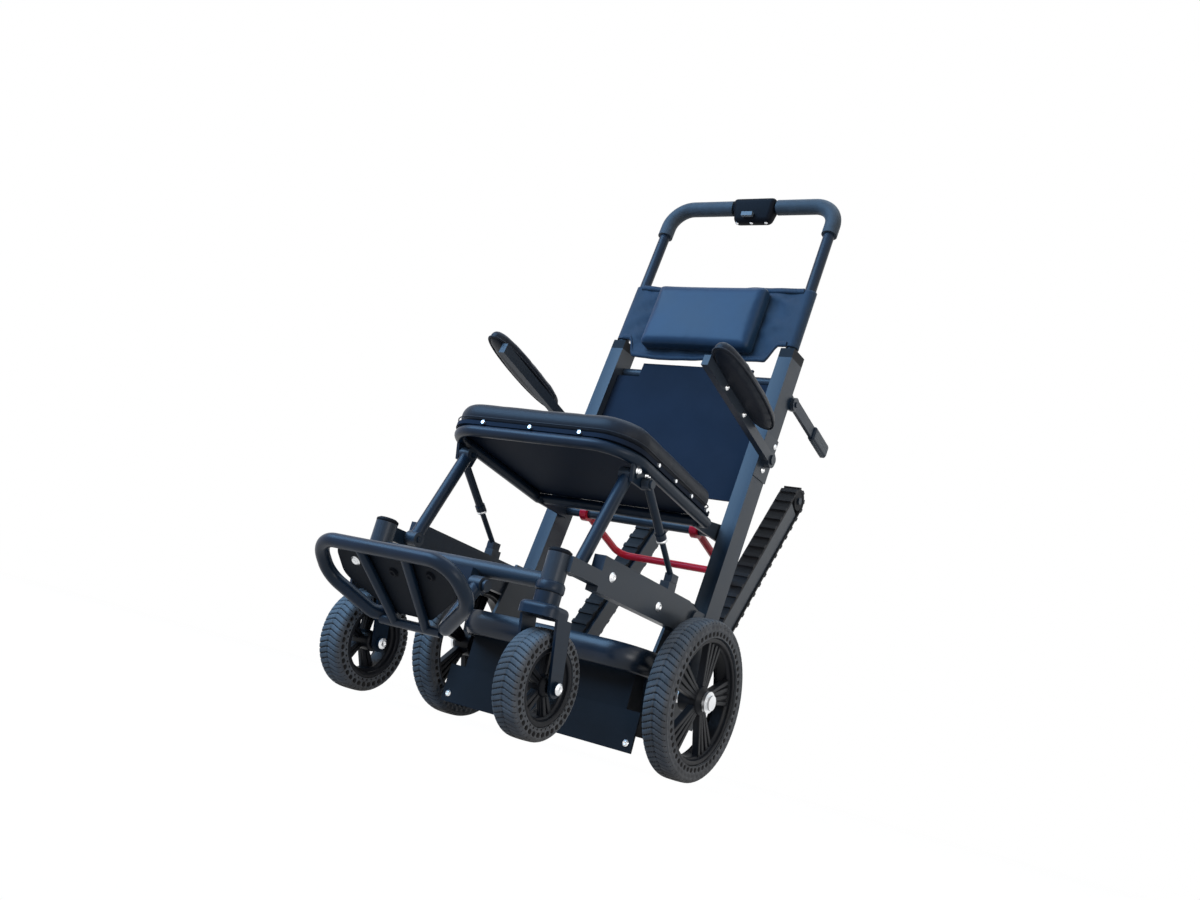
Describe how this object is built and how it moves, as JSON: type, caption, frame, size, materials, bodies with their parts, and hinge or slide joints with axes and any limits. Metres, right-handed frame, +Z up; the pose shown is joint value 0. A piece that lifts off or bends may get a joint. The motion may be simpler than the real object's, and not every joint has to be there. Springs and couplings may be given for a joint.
{
  "type": "stair chair",
  "caption": "Folding evacuation chair with seat, leaning back, push handle, wheels, casters, footrest and a folded crawler track for stairs.",
  "frame": {"origin": "on the floor, at the middle of the overall box", "axes": "+Z up, -Y to the front of the chair, +X to the occupant's left"},
  "size_m": [0.6232, 1.1388, 1.323],
  "materials": {
    "powder_coat": "satin powder coat",
    "vinyl": "soft satin vinyl",
    "headrest_vinyl": "soft satin vinyl",
    "sling_cloth": "coated woven cloth",
    "panel_sheet": "matt sheet",
    "black_plastic": "fine texture",
    "gloss_black": "gloss",
    "grey_plastic": "fine texture",
    "foam_grip": "foam",
    "tyre": "moulded tread",
    "rim_black": "moulded",
    "steel": "bright zinc",
    "red_paint": "gloss paint",
    "cast_metal": "cast",
    "belt_rubber": "moulded"
  },
  "bodies": {
    "frame": {"upright_left": "powder_coat", "upright_right": "powder_coat", "upright_caps": "black_plastic", "upper_crossbar": "powder_coat", "lower_crossbar": "powder_coat", "back_panel": "panel_sheet", "back_sling": "sling_cloth", "headrest_pad": "headrest_vinyl", "drive_housing": "black_plastic", "kick_plate": "black_plastic", "bumper_band": "gloss_black", "battery_pack": "grey_plastic", "gearbox": "cast_metal", "drive_motor": "steel", "rear_axle": "steel", "hanger_plates": "powder_coat", "beam_brackets": "powder_coat", "track_shaft": "steel"},
    "front_frame": {"side_beam_left": "powder_coat", "side_beam_right": "powder_coat", "front_crossbar": "powder_coat", "hinge_block": "powder_coat", "stem_tube_left": "powder_coat", "stem_tube_right": "powder_coat"},
    "front_legs": {"front_legs": "powder_coat"},
    "seat": {"seat_frame": "powder_coat", "seat_board": "panel_sheet", "seat_cushion": "vinyl", "seat_brackets": "powder_coat", "seat_rivets": "steel"},
    "strut_left": {"strut_left": "powder_coat"},
    "strut_right": {"strut_right": "powder_coat"},
    "caster_fork_left": {"caster_fork_left": "powder_coat"},
    "caster_fork_right": {"caster_fork_right": "powder_coat"},
    "caster_wheel_left": {"caster_tyre_left": "tyre", "caster_rim_left": "rim_black"},
    "caster_wheel_right": {"caster_tyre_right": "tyre", "caster_rim_right": "rim_black"},
    "rear_wheel_left": {"rear_tyre_left": "tyre", "rear_rim_left": "rim_black"},
    "rear_wheel_right": {"rear_tyre_right": "tyre", "rear_rim_right": "rim_black"},
    "footrest": {"footrest_loop": "powder_coat", "footrest_plate": "black_plastic"},
    "armrest_left": {"armrest_bar_left": "powder_coat", "armrest_pad_left": "vinyl"},
    "armrest_right": {"armrest_bar_right": "powder_coat", "armrest_pad_right": "vinyl"},
    "push_handle": {"push_handle": "powder_coat", "handle_grip": "foam_grip", "control_pod": "black_plastic"},
    "control_switch": {"control_switch": "grey_plastic"},
    "prop_frame": {"prop_frame": "red_paint"},
    "track_unit": {"track_rails": "powder_coat", "track_belts": "belt_rubber"},
    "drive_pulleys": {"drive_pulleys": "black_plastic"},
    "idler_pulleys": {"idler_pulleys": "black_plastic"},
    "lift_lever_left": {"lift_lever_left": "powder_coat"},
    "lift_lever_right": {"lift_lever_right": "powder_coat"}
  },
  "joints": [
    {"name": "fold_hinge", "type": "hinge", "parent": "frame", "child": "front_frame", "pos_m": [0, 0.08472, 0.294], "axis": [1, 0, 0], "range_deg": [-50, 0]},
    {"name": "seat_hinge", "type": "hinge", "parent": "frame", "child": "seat", "pos_m": [0, 0.15772, 0.487], "axis": [1, 0, 0], "range_deg": [-50, 0]},
    {"name": "front_leg_hinge", "type": "hinge", "parent": "front_frame", "child": "front_legs", "pos_m": [0, -0.29028, 0.29], "axis": [1, 0, 0], "range_deg": [0, 50]},
    {"name": "footrest_hinge", "type": "hinge", "parent": "front_frame", "child": "footrest", "pos_m": [0, -0.38128, 0.22], "axis": [1, 0, 0], "range_deg": [-80, 0]},
    {"name": "track_hinge", "type": "hinge", "parent": "frame", "child": "track_unit", "pos_m": [0, 0.21472, 0.118], "axis": [1, 0, 0], "range_deg": [-62, 0]},
    {"name": "drive_pulley_spin", "type": "hinge", "parent": "track_unit", "child": "drive_pulleys", "pos_m": [0, 0.21472, 0.118], "axis": [1, 0, 0], "continuous": true},
    {"name": "idler_pulley_spin", "type": "hinge", "parent": "track_unit", "child": "idler_pulleys", "pos_m": [0, 0.53722, 0.67659], "axis": [1, 0, 0], "continuous": true},
    {"name": "prop_frame_hinge", "type": "hinge", "parent": "frame", "child": "prop_frame", "pos_m": [0, 0.15772, 0.487], "axis": [1, 0, 0], "range_deg": [0, 25]},
    {"name": "handle_slide", "type": "slide", "parent": "frame", "child": "push_handle", "axis": [0, 0.1532, 0.9882], "range_m": [-0.15, 0]},
    {"name": "control_switch_press", "type": "slide", "parent": "push_handle", "child": "control_switch", "axis": [0, 1, 0], "range_m": [0, 0.0015], "stiffness_N_per_m": 300},
    {"name": "rear_wheel_spin_left", "type": "hinge", "parent": "frame", "child": "rear_wheel_left", "pos_m": [0.2746, 0.06472, 0.15], "axis": [1, 0, 0], "continuous": true},
    {"name": "caster_swivel_left", "type": "hinge", "parent": "front_frame", "child": "caster_fork_left", "pos_m": [0.194, -0.36128, 0.22], "axis": [0, 0, 1], "continuous": true},
    {"name": "caster_wheel_spin_left", "type": "hinge", "parent": "caster_fork_left", "child": "caster_wheel_left", "pos_m": [0.194, -0.32328, 0.09], "axis": [1, 0, 0], "continuous": true},
    {"name": "strut_hinge_left", "type": "hinge", "parent": "seat", "child": "strut_left", "pos_m": [0.213, -0.19028, 0.478], "axis": [1, 0, 0], "range_deg": [0, 30]},
    {"name": "armrest_hinge_left", "type": "hinge", "parent": "frame", "child": "armrest_left", "pos_m": [0.239, 0.19572, 0.665], "axis": [1, 0, 0], "range_deg": [-80, 0]},
    {"name": "lift_lever_hinge_left", "type": "hinge", "parent": "frame", "child": "lift_lever_left", "pos_m": [0.234, 0.26072, 0.813], "axis": [1, 0, 0], "range_deg": [0, 60]},
    {"name": "rear_wheel_spin_right", "type": "hinge", "parent": "frame", "child": "rear_wheel_right", "pos_m": [-0.2746, 0.06472, 0.15], "axis": [1, 0, 0], "continuous": true},
    {"name": "caster_swivel_right", "type": "hinge", "parent": "front_frame", "child": "caster_fork_right", "pos_m": [-0.194, -0.36128, 0.22], "axis": [0, 0, 1], "continuous": true},
    {"name": "caster_wheel_spin_right", "type": "hinge", "parent": "caster_fork_right", "child": "caster_wheel_right", "pos_m": [-0.194, -0.32328, 0.09], "axis": [1, 0, 0], "continuous": true},
    {"name": "strut_hinge_right", "type": "hinge", "parent": "seat", "child": "strut_right", "pos_m": [-0.213, -0.19028, 0.478], "axis": [1, 0, 0], "range_deg": [0, 30]},
    {"name": "armrest_hinge_right", "type": "hinge", "parent": "frame", "child": "armrest_right", "pos_m": [-0.239, 0.19572, 0.665], "axis": [1, 0, 0], "range_deg": [-80, 0]},
    {"name": "lift_lever_hinge_right", "type": "hinge", "parent": "frame", "child": "lift_lever_right", "pos_m": [-0.234, 0.26072, 0.813], "axis": [1, 0, 0], "range_deg": [0, 60]}
  ],
  "couplings": [
    {"joint": "seat_hinge", "follows": "fold_hinge", "ratio": 1},
    {"joint": "front_leg_hinge", "follows": "fold_hinge", "ratio": -1},
    {"joint": "idler_pulley_spin", "follows": "drive_pulley_spin", "ratio": 1}
  ]
}
